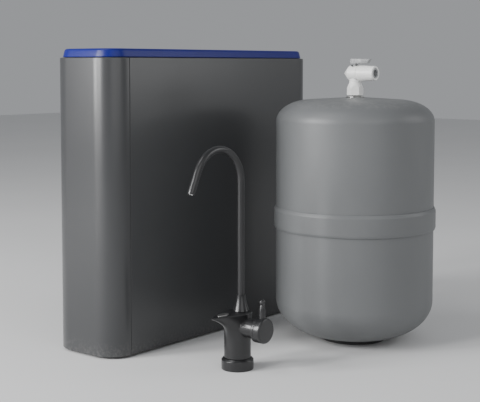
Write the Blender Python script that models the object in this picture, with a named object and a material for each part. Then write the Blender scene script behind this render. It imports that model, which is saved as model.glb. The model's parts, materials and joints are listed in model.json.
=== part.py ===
"""Under-sink reverse osmosis unit: a slim filter cabinet, its pressure tank and its faucet.

Each of the three stands on the floor and is modelled round its own empty:
the cabinet's is the middle of its footprint, the tank's and the faucet's are on their upright axes.
The cabinet's front faces -Y, and so does the faucet's spout. Metres, +Z up.
"""

import math

import bmesh
import bpy
from mathutils import Matrix, Vector

MM = 0.001
GAP = 0.3 * MM
FULL_TURN = 2 * math.pi

# Cabinet
CABINET_WIDTH = 122 * MM
CABINET_LENGTH = 455 * MM
COVER_TOP = 410 * MM
COVER_BOTTOM = 3 * MM
CORNER_RADIUS = 35 * MM
WALL = 3 * MM
LID_HEIGHT = 12.4 * MM
LEDGE_TOP = COVER_TOP + 0.3 * MM
LEDGE_BOTTOM = COVER_TOP - 5 * MM
LEDGE_INSET = 7 * MM
FOOT_HEIGHT = 5.5 * MM
FOOT_RADIUS = 9 * MM
CORNER_STEPS = 7

# Filter cartridges, in a row along Y, each on a quarter-turn socket of the manifold
CARTRIDGES = 4
CARTRIDGE_PITCH = 106 * MM
CARTRIDGE_RADIUS = 45 * MM
CARTRIDGE_BOTTOM = 60 * MM
CARTRIDGE_TOP = 376 * MM
NECK_RADIUS = 14 * MM
SOCKET_RADIUS = 17.5 * MM
COLLAR_TOP = 58 * MM
LUG_REACH = 22.5 * MM

# Push-fit tube ports, 3/8 in
TUBE_BORE = 4.9 * MM
COLLET_TRAVEL = 1.0 * MM
PORT_X = 12 * MM
PORT_Z = (24 * MM, 48 * MM)

# Tank
TANK_RADIUS = 114.3 * MM
TANK_TOP = 353 * MM
TANK_SEAM = 180 * MM
TANK_SHEET = 1.6 * MM
BELT_HEIGHT = 32 * MM
BELT_STAND = 3 * MM
VALVE_AXIS_Z = 388 * MM
VALVE_RADIUS = 11.4 * MM
PORT_RADIUS = 10.4 * MM
VALVE_REACH = 34.5 * MM
MOUTH_DEPTH = 2.4 * MM
LEVER_LOW = 401.7 * MM
LEVER_TOP = 409 * MM
LEVER_REACH = 27 * MM

# Faucet
BASE_RADIUS = 21.4 * MM
COLUMN_RADIUS = 18 * MM
DECK_Z = 76 * MM
LIP_REACH = 52 * MM
SPOUT_RADIUS = 4.75 * MM
SPOUT_BACK = 7.2 * MM
SPOUT_BEND = 45 * MM
SPOUT_TOP = 297 * MM
SPOUT_TURN = math.radians(155)
SPOUT_TAIL = 30 * MM
HANDLE_Z = 57 * MM
HUB_RADIUS = 16.8 * MM
HUB_START = 34 * MM
HUB_END = 48.5 * MM
LEVER_TIP_Z = 98 * MM

# Places, first from the middle of the cabinet's front face, then from the origin,
# which is the middle of the whole footprint.
TANK_FROM_FRONT = Vector((234 * MM, 322 * MM, 0))
FAUCET_FROM_FRONT = Vector((207 * MM, 86 * MM, 0))
PORT_STAND = 15.5 * MM
SPOUT_REACH = SPOUT_BEND * (1 - math.cos(SPOUT_TURN)) + SPOUT_TAIL * math.sin(SPOUT_TURN)
FOOTPRINT_FRONT = FAUCET_FROM_FRONT.y + SPOUT_BACK - SPOUT_REACH + SPOUT_RADIUS * math.cos(SPOUT_TURN)
FOOTPRINT_MIDDLE = Vector((
    (TANK_FROM_FRONT.x + TANK_RADIUS + BELT_STAND - CABINET_WIDTH / 2) / 2,
    (CABINET_LENGTH + PORT_STAND + FOOTPRINT_FRONT) / 2,
    0,
))
CABINET_AT = Vector((0, CABINET_LENGTH / 2, 0)) - FOOTPRINT_MIDDLE
TANK_AT = TANK_FROM_FRONT - FOOTPRINT_MIDDLE
FAUCET_AT = FAUCET_FROM_FRONT - FOOTPRINT_MIDDLE

# Materials: colour, roughness, metallic
FINISHES = {
    "charcoal_plastic": ((0.053, 0.054, 0.056), 0.35, 0.0),
    "blue_plastic": ((0.005, 0.009, 0.165), 0.35, 0.0),
    "black_plastic": ((0.02, 0.02, 0.022), 0.55, 0.0),
    "white_plastic": ((0.81, 0.81, 0.795), 0.4, 0.0),
    "grey_plastic": ((0.33, 0.335, 0.34), 0.4, 0.0),
    "carbon_block": ((0.05, 0.05, 0.05), 0.9, 0.0),
    "rubber": ((0.03, 0.03, 0.03), 0.8, 0.0),
    "grey_enamel": ((0.140, 0.145, 0.148), 0.4, 0.0),
    "steel": ((0.6, 0.6, 0.6), 0.3, 1.0),
    "black_metal": ((0.025, 0.025, 0.027), 0.35, 0.8),
}


def material(name):
    made = bpy.data.materials.get(name)
    if made:
        return made
    colour, roughness, metallic = FINISHES[name]
    made = bpy.data.materials.new(name)
    made.use_nodes = True
    shader = made.node_tree.nodes["Principled BSDF"]
    shader.inputs["Base Color"].default_value = (*colour, 1)
    shader.inputs["Roughness"].default_value = roughness
    shader.inputs["Metallic"].default_value = metallic
    return made


def new_object(name, bm, finish, unit, at=(0, 0, 0), smooth=True):
    """An object from a bmesh, parented to its unit's empty, with its origin at the point given."""
    bmesh.ops.recalc_face_normals(bm, faces=bm.faces)
    mesh = bpy.data.meshes.new(name)
    bm.to_mesh(mesh)
    bm.free()
    if smooth:
        mesh.shade_smooth()
        mesh.set_sharp_from_angle(angle=math.radians(35))
    obj = bpy.data.objects.new(name, mesh)
    obj.data.materials.append(material(finish))
    bpy.context.scene.collection.objects.link(obj)
    obj.parent = unit
    obj.location = at
    return obj


def helper(name, bm, unit, at=(0, 0, 0)):
    """A cutter or a piece to join on, which is left out of the model itself."""
    obj = new_object(name, bm, "black_plastic", unit, at, smooth=False)
    obj.hide_render = True
    obj.display_type = "WIRE"
    return obj


def boolean(obj, operation, *others):
    for other in others:
        modifier = obj.modifiers.new(f"{operation.lower()}_{other.name}", "BOOLEAN")
        modifier.operation = operation
        modifier.solver = "EXACT"
        modifier.object = other


def mm(*points):
    """Points written in millimetres."""
    return [(x * MM, y * MM) for x, y in points]


def turned(profile, steps, axis="Z"):
    """A closed profile of (radius, height) turned about an axis. Points on the axis become poles."""
    bm = bmesh.new()
    points = [bm.verts.new((radius, 0, height)) for radius, height in profile]
    pairs = zip(points, points[1:] + points[:1])
    edges = [bm.edges.new(pair) for pair in pairs if pair[0].co.x > 0 or pair[1].co.x > 0]
    bmesh.ops.spin(bm, geom=points + edges, cent=(0, 0, 0), axis=(0, 0, 1), angle=FULL_TURN, steps=steps)
    bmesh.ops.remove_doubles(bm, verts=bm.verts, dist=0.001 * MM)
    turns = {"Z": Matrix.Identity(3)}
    turns["Y"] = Matrix.Rotation(-math.pi / 2, 3, "X")
    turns["X"] = Matrix.Rotation(math.pi / 2, 3, "Y")
    bmesh.ops.transform(bm, matrix=turns[axis].to_4x4(), verts=bm.verts)
    return bm


def disc(radius, low, high, steps=24, axis="Z"):
    return turned([(0, low), (radius, low), (radius, high), (0, high)], steps, axis)


def ring(inner, outer, low, high, steps=24, axis="Z"):
    return turned([(inner, low), (outer, low), (outer, high), (inner, high)], steps, axis)


def block(low, high):
    bm = bmesh.new()
    bmesh.ops.create_cube(bm, size=1)
    low, high = Vector(low), Vector(high)
    bmesh.ops.scale(bm, vec=high - low, verts=bm.verts)
    bmesh.ops.translate(bm, vec=(low + high) / 2, verts=bm.verts)
    return bm


def corner_arc(centre, radius, start, steps=CORNER_STEPS):
    """A quarter circle, anticlockwise from the start angle in degrees."""
    angles = [math.radians(start + 90 * i / steps) for i in range(steps + 1)]
    return [(centre[0] + radius * math.cos(a), centre[1] + radius * math.sin(a)) for a in angles]


def rounded_rectangle(inset):
    """The cabinet's outline moved inwards, anticlockwise from the front right corner."""
    radius = max(CORNER_RADIUS - inset, 4 * MM)
    x, y = CABINET_WIDTH / 2 - inset - radius, CABINET_LENGTH / 2 - inset - radius
    corners = ((x, -y, -90), (x, y, 0), (-x, y, 90), (-x, -y, 180))
    return [point for cx, cy, start in corners for point in corner_arc((cx, cy), radius, start)]


def stacked(levels):
    """A solid through outlines at heights, given as (inset, height). Its first and last are its ends."""
    bm = bmesh.new()
    rings = [[bm.verts.new((x, y, z)) for x, y in rounded_rectangle(inset)] for inset, z in levels]
    for low, high in zip(rings, rings[1:]):
        for i in range(len(low)):
            j = (i + 1) % len(low)
            bm.faces.new((low[i], low[j], high[j], high[i]))
    bm.faces.new(rings[0])
    bm.faces.new(rings[-1])
    return bm


def prism(outline, low, high):
    bm = bmesh.new()
    face = bm.faces.new([bm.verts.new((x, y, low)) for x, y in outline])
    pushed = bmesh.ops.extrude_face_region(bm, geom=[face])
    tops = [v for v in pushed["geom"] if isinstance(v, bmesh.types.BMVert)]
    bmesh.ops.translate(bm, vec=(0, 0, high - low), verts=tops)
    return bm


def mirrored(points):
    """The same points on the other side of X = 0, in the opposite order, so that an outline goes on."""
    return [(-x, y) for x, y in reversed(points)]


# ---------------------------------------------------------------- cabinet


HALF_WIDTH = CABINET_WIDTH / 2
HALF_LENGTH = CABINET_LENGTH / 2
COVER_SEAM_Y = -HALF_LENGTH + CORNER_RADIUS
TRAY_INSET = 5.9 * MM
TRAY_FLOOR = 8.8 * MM
MANIFOLD_BOTTOM = TRAY_FLOOR + GAP
MANIFOLD_TOP = 46 * MM
HEADER_FACE_Y = HALF_LENGTH - 15 * MM


def front_cover(unit):
    """The front with its two round corners. A tongue on each side slides inside the rear housing."""
    tongue_out, tongue_in = HALF_WIDTH - WALL - 0.4 * MM, HALF_WIDTH - WALL - 2.4 * MM
    centre = (HALF_WIDTH - CORNER_RADIUS, COVER_SEAM_Y)
    outer = corner_arc(centre, CORNER_RADIUS, -90)
    inner = corner_arc(centre, CORNER_RADIUS - WALL, -90)[:-1]
    tongue = [
        (tongue_out, COVER_SEAM_Y),
        (tongue_out, COVER_SEAM_Y + 12 * MM),
        (tongue_in, COVER_SEAM_Y + 12 * MM),
        (tongue_in, COVER_SEAM_Y - 4 * MM),
    ]
    half = outer + tongue + inner[::-1]
    bm = prism(half + mirrored(half), COVER_BOTTOM, COVER_TOP)
    obj = new_object("front_cover", bm, "charcoal_plastic", unit)
    ledge_out = corner_arc(centre, CORNER_RADIUS - WALL / 2, -90)[:-1]
    ledge_in = corner_arc(centre, CORNER_RADIUS - LEDGE_INSET, -90)[:-1]
    half = ledge_out + ledge_in[::-1]
    boolean(obj, "UNION", helper("front_ledge", prism(half + mirrored(half), LEDGE_BOTTOM, LEDGE_TOP), unit))


def rear_housing(unit):
    """Both sides and the back, with a hole for each port. The tray stands on the lip round its foot,
    and the lid on the ledge round its top."""
    seam = COVER_SEAM_Y + 0.6 * MM
    centre = (HALF_WIDTH - CORNER_RADIUS, HALF_LENGTH - CORNER_RADIUS)
    outer = [(HALF_WIDTH, seam)] + corner_arc(centre, CORNER_RADIUS, 0)
    inner = [(HALF_WIDTH - WALL, seam)] + corner_arc(
        (HALF_WIDTH - CORNER_RADIUS, HALF_LENGTH - CORNER_RADIUS), CORNER_RADIUS - WALL, 0
    )
    outline = outer + mirrored(outer) + [(-x, y) for x, y in inner] + inner[::-1]
    obj = new_object("rear_housing", prism(outline, COVER_BOTTOM, COVER_TOP), "charcoal_plastic", unit)
    lips = {"foot_lip": (8 * MM, COVER_BOTTOM + GAP, FOOT_HEIGHT)}
    lips["lid_ledge"] = (LEDGE_INSET, LEDGE_BOTTOM, LEDGE_TOP)
    start = COVER_SEAM_Y + 16 * MM
    corner = (HALF_WIDTH - CORNER_RADIUS, HALF_LENGTH - CORNER_RADIUS)
    outside = [(HALF_WIDTH - WALL / 2, start)] + corner_arc(corner, CORNER_RADIUS - WALL / 2, 0)
    for name, (inset, low, high) in lips.items():
        inside = [(HALF_WIDTH - inset, start)] + corner_arc(corner, CORNER_RADIUS - inset, 0)
        outline = outside + mirrored(outside) + [(-x, y) for x, y in inside] + inside[::-1]
        boolean(obj, "UNION", helper(name, prism(outline, low, high), unit))
    for number, (x, z) in enumerate(port_places(), 1):
        hole = disc(8 * MM, HALF_LENGTH - 2 * WALL, HALF_LENGTH + WALL, axis="Y")
        boolean(obj, "DIFFERENCE", helper(f"port_hole_{number}", hole, unit, (x, 0, z)))


def lid(unit):
    """A hollow cap: a skirt that plugs into the covers, a rounded shoulder and a shallow sunk top."""
    shoulder_steps = 6
    shoulder = []
    for step in range(shoulder_steps + 1):
        angle = math.pi / 2 * step / shoulder_steps
        inset, rise = 9 * MM * (1 - math.cos(angle)), 10 * MM * math.sin(angle)
        shoulder.append((4 * MM + inset, COVER_TOP + 2 * MM + rise))
    top = COVER_TOP + LID_HEIGHT
    skirt_foot = COVER_TOP - 11 * MM
    skirt_out, skirt_in = LEDGE_INSET + 0.4 * MM, LEDGE_INSET + 2.8 * MM
    levels = [
        (17 * MM, top - 4.5 * MM),
        (13 * MM, COVER_TOP + 5 * MM),
        (skirt_in, COVER_TOP),
        (skirt_in, skirt_foot),
        (skirt_out, skirt_foot),
        (skirt_out, LEDGE_TOP + GAP),
        (4 * MM, LEDGE_TOP + GAP),
        *shoulder,
        (19 * MM, top),
        (20 * MM, top - 1.2 * MM),
    ]
    new_object("lid", stacked(levels), "blue_plastic", unit)


def chassis_tray(unit):
    levels = [
        (TRAY_INSET + 2.5 * MM, TRAY_FLOOR),
        (TRAY_INSET + 2.5 * MM, 24 * MM),
        (TRAY_INSET, 24 * MM),
        (TRAY_INSET, FOOT_HEIGHT + GAP),
    ]
    obj = new_object("chassis_tray", stacked(levels), "black_plastic", unit)
    for number, y in enumerate(screw_places(), 1):
        hole = disc(2.3 * MM, 0, 2 * TRAY_FLOOR, 16)
        boolean(obj, "DIFFERENCE", helper(f"screw_hole_{number}", hole, unit, (0, y, 0)))
    notch = block((-25 * MM, HEADER_FACE_Y - 25 * MM, TRAY_FLOOR), (25 * MM, HALF_LENGTH, 30 * MM))
    boolean(obj, "DIFFERENCE", helper("port_notch", notch, unit))


def foot_pads(unit):
    """Four rubber feet under the tray, at its corners."""
    x, y = HALF_WIDTH - 22 * MM, HALF_LENGTH - 30 * MM
    for number, (sx, sy) in enumerate(((1, -1), (1, 1), (-1, 1), (-1, -1)), 1):
        profile = [(0, 0), (FOOT_RADIUS - 1 * MM, 0), (FOOT_RADIUS, 1 * MM)]
        profile += [(FOOT_RADIUS, FOOT_HEIGHT), (0, FOOT_HEIGHT)]
        new_object(f"foot_pad_{number}", turned(profile, 20), "rubber", unit, (sx * x, sy * y, 0))


def cartridge_places():
    return [(i - (CARTRIDGES - 1) / 2) * CARTRIDGE_PITCH for i in range(CARTRIDGES)]


def repeated(make):
    """One mesh with the same shape at every cartridge."""
    row = bmesh.new()
    for y in cartridge_places():
        single = make()
        bmesh.ops.translate(single, vec=(0, y, 0), verts=single.verts)
        copy = bpy.data.meshes.new("copy")
        single.to_mesh(copy)
        single.free()
        row.from_mesh(copy)
        bpy.data.meshes.remove(copy)
    return row


def port_places():
    return [(x, z) for z in PORT_Z for x in (-PORT_X, PORT_X)]


def screw_places():
    return [-CARTRIDGE_PITCH, CARTRIDGE_PITCH]


def cartridge_rack(unit):
    """A plate that steadies the cartridges, on four legs that stand on the tray between them."""
    plate_low, plate_high = 326 * MM, 330 * MM
    plate = stacked([(TRAY_INSET, plate_low), (TRAY_INSET, plate_high)])
    obj = new_object("cartridge_rack", plate, "black_plastic", unit)
    for number, (sx, sy) in enumerate(((1, 1), (-1, 1), (-1, -1), (1, -1)), 1):
        x, y, half = sx * 47.5 * MM, sy * CARTRIDGE_PITCH, 4 * MM
        leg = block((x - half, y - half, TRAY_FLOOR + GAP), (x + half, y + half, plate_low + 2 * MM))
        boolean(obj, "UNION", helper(f"rack_leg_{number}", leg, unit))
    for number, y in enumerate(cartridge_places(), 1):
        hole = disc(CARTRIDGE_RADIUS + 1.3 * MM, plate_low - 5 * MM, plate_high + 5 * MM, 32)
        boolean(obj, "DIFFERENCE", helper(f"rack_hole_{number}", hole, unit, (0, y, 0)))


def manifold(unit):
    """The moulded block that every cartridge plugs into. Each socket has a groove for the cartridge's
    lugs under a rim, and two notches in that rim, at +X and -X, where the lugs go in."""
    length = CARTRIDGE_PITCH * (CARTRIDGES - 1) / 2 + 29 * MM
    base = block((-30 * MM, -length, MANIFOLD_BOTTOM), (30 * MM, length, MANIFOLD_TOP))
    obj = new_object("manifold", base, "white_plastic", unit)
    header = block((-23 * MM, length - 1.5 * MM, 11 * MM), (23 * MM, HEADER_FACE_Y, 59 * MM))
    boolean(obj, "UNION", helper("port_header", header, unit))
    well = [
        (0, 30 * MM), (SOCKET_RADIUS, 30 * MM), (SOCKET_RADIUS, 50 * MM), (24 * MM, 50 * MM),
        (24 * MM, 54.6 * MM), (SOCKET_RADIUS, 54.6 * MM), (SOCKET_RADIUS, 64 * MM), (0, 64 * MM),
    ]
    notch_low, notch_high = (-23 * MM, -5.7 * MM, 52 * MM), (23 * MM, 5.7 * MM, 65 * MM)
    collars = helper("collars", repeated(lambda: disc(27 * MM, MANIFOLD_TOP - 2 * MM, COLLAR_TOP, 24)), unit)
    wells = helper("socket_wells", repeated(lambda: turned(well, 24)), unit)
    boolean(wells, "UNION", helper("lug_notches", repeated(lambda: block(notch_low, notch_high)), unit))
    boolean(obj, "UNION", collars)
    for number, y in enumerate(screw_places(), 1):
        bore = disc(1.9 * MM, 0, 24 * MM, 16)
        boolean(obj, "DIFFERENCE", helper(f"screw_bore_{number}", bore, unit, (0, y, 0)))
    boolean(obj, "DIFFERENCE", wells)


def manifold_screws(unit):
    """Two pan-head screws from under the tray hold the manifold."""
    head_low, head_high = FOOT_HEIGHT + GAP - 2.6 * MM, FOOT_HEIGHT
    for number, y in enumerate(screw_places(), 1):
        profile = [
            (0, head_low), (3 * MM, head_low), (4 * MM, head_low + 1 * MM), (4 * MM, head_high),
            (1.6 * MM, head_high), (1.6 * MM, 21 * MM), (0, 22 * MM),
        ]
        new_object(f"manifold_screw_{number}", turned(profile, 16), "steel", unit, (0, y, 0))


def cartridge_mesh():
    """A thin shell, open through its neck, which hangs under a rounded shoulder."""
    out, sheet = CARTRIDGE_RADIUS, 2.6 * MM
    low, high = CARTRIDGE_BOTTOM, CARTRIDGE_TOP
    bore, neck_foot = 5 * MM, 36 * MM
    return turned([
        (bore, neck_foot), (NECK_RADIUS, neck_foot), (NECK_RADIUS, low), (out - 5 * MM, low + 1 * MM),
        (out, low + 7 * MM), (out, high - 10 * MM), (out - 2.5 * MM, high - 3 * MM),
        (out - 8 * MM, high), (0, high), (0, high - sheet), (out - 9 * MM, high - sheet),
        (out - sheet, high - 11 * MM), (out - sheet, low + 8 * MM),
        (out - 7 * MM, low + 1 * MM + sheet), (bore, low + sheet),
    ], 22)


def cartridges(unit):
    """Sediment filter, carbon filter, membrane and polishing filter, front to back."""
    stages = ("sediment", "carbon", "membrane", "polishing")
    inner = {"sediment": 12 * MM, "carbon": 14 * MM, "membrane": 8 * MM, "polishing": 14 * MM}
    for stage, y in zip(stages, cartridge_places()):
        at = (0, y, 0)
        finish = "white_plastic"
        shell = new_object(f"{stage}_cartridge", cartridge_mesh(), finish, unit, at)
        grip = block(
            (-29 * MM, -6 * MM, CARTRIDGE_TOP - 1.5 * MM), (29 * MM, 6 * MM, CARTRIDGE_TOP + 13 * MM)
        )
        lugs = block((-5 * MM, -LUG_REACH, 50.8 * MM), (5 * MM, LUG_REACH, 53.8 * MM))
        hollow = disc(8 * MM, 49 * MM, 56 * MM, 16)
        cross = helper(f"{stage}_lugs", lugs, unit, at)
        boolean(cross, "DIFFERENCE", helper(f"{stage}_lug_bore", hollow, unit, at))
        boolean(shell, "UNION", helper(f"{stage}_grip", grip, unit, at), cross)
        core = "carbon_block" if stage in ("carbon", "polishing") else "white_plastic"
        element = ring(inner[stage], 40.5 * MM, CARTRIDGE_BOTTOM + 9 * MM, CARTRIDGE_TOP - 12 * MM, 20)
        new_object(f"{stage}_element", element, core, unit, at)
        minor = 1.4 * MM
        major = NECK_RADIUS + GAP + minor
        circle = [FULL_TURN * i / 6 for i in range(6)]
        seal = [(major + minor * math.cos(a), 41 * MM + minor * math.sin(a)) for a in circle]
        new_object(f"{stage}_o_ring", turned(seal, 18), "rubber", unit, at)


def shutoff_valve(unit):
    """The automatic shut-off valve beside the manifold: body, diaphragm and cap."""
    at = (41.2 * MM, CARTRIDGE_PITCH / 2, 0)
    low = TRAY_FLOOR + GAP
    body = turned([
        (0, low), (10.2 * MM, low), (10.2 * MM, 27 * MM), (8.6 * MM, 27 * MM),
        (8.6 * MM, 24.5 * MM), (0, 24.5 * MM),
    ], 20)
    new_object("shutoff_valve_body", body, "white_plastic", unit, at)
    new_object("shutoff_diaphragm", disc(8.2 * MM, 24.8 * MM, 26.4 * MM, 20), "rubber", unit, at)
    cap = turned(mm((0, 27.3), (10.2, 27.3), (10.2, 34), (7, 37), (0, 37)), 20)
    new_object("shutoff_valve_cap", cap, "blue_plastic", unit, at)


def flow_restrictor(unit):
    """A capillary housing beside the manifold, on the way to the drain."""
    profile = [
        (0, -24 * MM), (3.2 * MM, -24 * MM), (3.2 * MM, -16 * MM), (6 * MM, -14 * MM),
        (6 * MM, 14 * MM), (3.2 * MM, 16 * MM), (3.2 * MM, 24 * MM), (0, 24 * MM),
    ]
    at = (-41 * MM, 0, TRAY_FLOOR + GAP + 6 * MM)
    new_object("flow_restrictor", turned(profile, 16, "Y"), "white_plastic", unit, at)


def collet_mesh(axis, flange=7.6 * MM):
    """A push-fit release collar. Heights are from the mouth of its fitting, outwards."""
    mouth_gap = COLLET_TRAVEL + 0.5 * MM
    return turned([
        (TUBE_BORE, -5.5 * MM), (6.2 * MM, -5.5 * MM), (6.2 * MM, mouth_gap - 0.3 * MM),
        (flange, mouth_gap - 0.3 * MM), (flange, 2.5 * MM), (TUBE_BORE, 2.5 * MM),
    ], 20, axis)


def ports(unit):
    """Feed, drain, tank and faucet ports: bulkhead fittings through the back, each with its collet."""
    names = ("feed", "drain", "tank", "faucet")
    mouth = PORT_STAND - 2.5 * MM
    inner_end = HEADER_FACE_Y - HALF_LENGTH + GAP
    profile = [
        (3 * MM, inner_end), (7.4 * MM, inner_end), (7.4 * MM, GAP), (9.6 * MM, GAP), (9.6 * MM, 5 * MM),
        (8.6 * MM, 5.8 * MM), (8.6 * MM, mouth - 0.8 * MM), (8 * MM, mouth), (6.6 * MM, mouth),
        (6.6 * MM, mouth - 7 * MM), (TUBE_BORE, mouth - 7 * MM), (TUBE_BORE, -6 * MM), (3 * MM, -6 * MM),
    ]
    for name, (x, z) in zip(names, port_places()):
        new_object(f"{name}_port", turned(profile, 20, "Y"), "white_plastic", unit, (x, HALF_LENGTH, z))
        new_object(f"{name}_port_collet", collet_mesh("Y"), "grey_plastic", unit, (x, HALF_LENGTH + mouth, z))


# ---------------------------------------------------------------- tank


def ellipse_arc(centre, radii, start, end, steps):
    """Points on an upright ellipse, between two angles in degrees above the horizontal."""
    angles = [math.radians(start + (end - start) * i / steps) for i in range(steps + 1)]
    return [(centre[0] + radii[0] * math.cos(a), centre[1] + radii[1] * math.sin(a)) for a in angles]


def dome_top(sheet):
    """The top half's curve, from the wall up to the hole for the stem, moved inwards by the sheet."""
    shoulder_wide, shoulder_high = 50 * MM, 31 * MM
    centre = (TANK_RADIUS - shoulder_wide, TANK_TOP - 3 * MM - shoulder_high)
    shoulder = ellipse_arc(centre, (shoulder_wide - sheet, shoulder_high - sheet), 0, 90, 6)
    return shoulder + [(35 * MM, TANK_TOP - 0.9 * MM - sheet), (9.3 * MM, TANK_TOP - sheet)]


def dome_bottom(sheet):
    """The lower half's curve, from the middle out to the wall, moved inwards by the sheet."""
    flat = 40 * MM
    curve = ellipse_arc((flat, 60 * MM), (TANK_RADIUS - flat - sheet, 54 * MM - sheet), -90, 0, 7)
    return [(0, 6 * MM + sheet)] + curve


def tank_shells(unit):
    seam = TANK_SEAM
    wall_in = TANK_RADIUS - TANK_SHEET
    outer, inner = dome_top(0), dome_top(TANK_SHEET)
    top = [(wall_in, seam + GAP), (TANK_RADIUS, seam + GAP)] + outer + inner[::-1]
    new_object("tank_upper_shell", turned(top, 32), "grey_enamel", unit)
    outer, inner = dome_bottom(0), dome_bottom(TANK_SHEET)
    bottom = outer + [(TANK_RADIUS, seam), (wall_in, seam)] + inner[::-1]
    lower = new_object("tank_lower_shell", turned(bottom, 32), "grey_enamel", unit)
    hole = disc(4.4 * MM, 100 * MM, 130 * MM, 16, "Y")
    boolean(lower, "DIFFERENCE", helper("air_valve_hole", hole, unit, (0, 0, 78 * MM)))


def tank_belt(unit):
    """The pressed ring over the seam that clamps the two halves and the bladder's rim."""
    inner = TANK_RADIUS + GAP
    outer = TANK_RADIUS + BELT_STAND
    low, high = TANK_SEAM - BELT_HEIGHT / 2, TANK_SEAM + BELT_HEIGHT / 2
    edge = 4 * MM
    profile = [
        (inner, low), (inner + 0.5 * MM, low), (outer - 0.5 * MM, low + edge * 0.6), (outer, low + edge),
        (outer, high - edge), (outer - 0.5 * MM, high - edge * 0.6), (inner + 0.5 * MM, high), (inner, high),
    ]
    new_object("tank_belt", turned(profile, 32), "grey_enamel", unit)


def tank_insides(unit):
    """The rubber bladder, half full, which stands up from the seam."""
    sheet = 2 * MM
    rim = TANK_RADIUS - TANK_SHEET - 0.6 * MM
    outside = ellipse_arc((0, TANK_SEAM - 6 * MM), (rim, 84 * MM), 4, 90, 8)[:-1] + [(0, TANK_SEAM + 78 * MM)]
    inside = ellipse_arc((0, TANK_SEAM - 6 * MM), (rim - sheet, 84 * MM - sheet), 4, 90, 8)[:-1]
    inside += [(0, TANK_SEAM + 78 * MM - sheet)]
    new_object("tank_bladder", turned(outside + inside[::-1], 20), "rubber", unit)


def tank_fittings(unit):
    """The steel stem on top, the foot ring, and the air valve low on the back with its cap."""
    stem = [
        (3.5 * MM, TANK_TOP - 8 * MM), (8.8 * MM, TANK_TOP - 8 * MM), (8.8 * MM, TANK_TOP + GAP),
        (13 * MM, TANK_TOP + GAP), (13 * MM, TANK_TOP + 1.6 * MM), (8 * MM, TANK_TOP + 2.6 * MM),
        (6 * MM, TANK_TOP + 2.6 * MM), (6 * MM, TANK_TOP + 15 * MM), (3.5 * MM, TANK_TOP + 15 * MM),
    ]
    new_object("tank_stem", turned(stem, 24), "steel", unit)
    foot = [(40 * MM, 0), (47 * MM, 0), (47 * MM, 5.6 * MM), (40 * MM, 5.6 * MM)]
    new_object("tank_foot_ring", turned(foot, 32), "black_plastic", unit)
    at = (0, 0, 78 * MM)
    wall = TANK_RADIUS + GAP
    air = [
        (1.5 * MM, TANK_RADIUS - 8 * MM), (3.9 * MM, TANK_RADIUS - 8 * MM), (3.9 * MM, wall), (7 * MM, wall),
        (7 * MM, wall + 1.6 * MM), (3.9 * MM, wall + 2.6 * MM), (3.9 * MM, wall + 13 * MM),
        (1.5 * MM, wall + 13 * MM),
    ]
    new_object("air_valve", turned(air, 16, "Y"), "steel", unit, at)
    low = wall + 5 * MM
    cap = [
        (4.3 * MM, low), (6.4 * MM, low), (6.4 * MM, low + 11 * MM), (5.2 * MM, low + 13 * MM),
        (0, low + 13 * MM),
        (0, low + 9 * MM), (4.3 * MM, low + 9 * MM),
    ]
    new_object("air_valve_cap", turned(cap, 18, "Y"), "blue_plastic", unit, at)


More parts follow.
